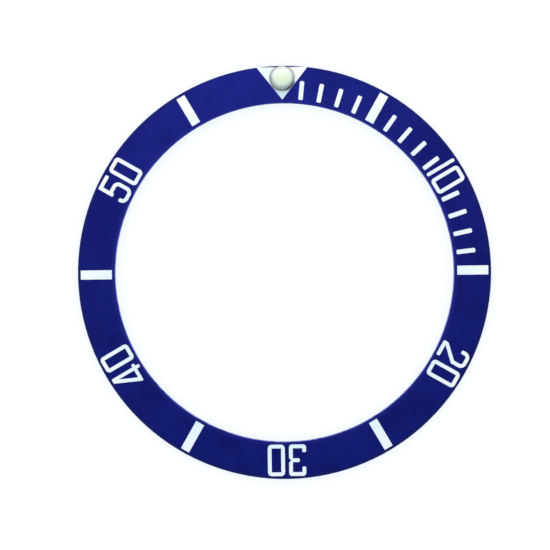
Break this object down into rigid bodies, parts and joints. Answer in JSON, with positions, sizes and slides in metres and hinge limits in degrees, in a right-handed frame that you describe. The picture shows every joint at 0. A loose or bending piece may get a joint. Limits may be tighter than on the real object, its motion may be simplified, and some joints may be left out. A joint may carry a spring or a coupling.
{
  "type": "watch bezel insert",
  "caption": "Conical ring insert for a rotating watch bezel, with a minute scale of inlaid bars and numerals and a domed luminous pearl in the triangle at zero.",
  "frame": {"origin": "on the axis of the ring, in the plane of the flat land that it stands on", "axes": "+Z along the axis towards the wearer, +Y from the axis towards zero on the scale, +X towards fifteen"},
  "size_m": [0.0375, 0.0375, 0.0017],
  "materials": {
    "blue_anodised_aluminium": "satin blue anodising, bare turned metal underneath",
    "white_inlay": "smooth white fill",
    "pearl_metal": "turned and polished",
    "luminous_charge": "matt, granular, pale green",
    "clear_lens": "clear and polished"
  },
  "bodies": {
    "root": {"insert_ring": "blue_anodised_aluminium", "triangle_inlay": "white_inlay", "bar_inlay_05": "white_inlay", "bar_inlay_15": "white_inlay", "bar_inlay_25": "white_inlay", "bar_inlay_35": "white_inlay", "bar_inlay_45": "white_inlay", "bar_inlay_55": "white_inlay", "minute_inlay_01": "white_inlay", "minute_inlay_02": "white_inlay", "minute_inlay_03": "white_inlay", "minute_inlay_04": "white_inlay", "minute_inlay_06": "white_inlay", "minute_inlay_07": "white_inlay", "minute_inlay_08": "white_inlay", "minute_inlay_09": "white_inlay", "minute_inlay_11": "white_inlay", "minute_inlay_12": "white_inlay", "minute_inlay_13": "white_inlay", "minute_inlay_14": "white_inlay", "numeral_10_tens_inlay": "white_inlay", "numeral_10_units_inlay": "white_inlay", "numeral_20_tens_inlay": "white_inlay", "numeral_20_units_inlay": "white_inlay", "numeral_30_tens_inlay": "white_inlay", "numeral_30_units_inlay": "white_inlay", "numeral_40_tens_inlay": "white_inlay", "numeral_40_units_inlay": "white_inlay", "numeral_50_tens_inlay": "white_inlay", "numeral_50_units_inlay": "white_inlay", "pearl_cup": "pearl_metal", "pearl_lume": "luminous_charge", "pearl_lens": "clear_lens"}
  },
  "joints": []
}
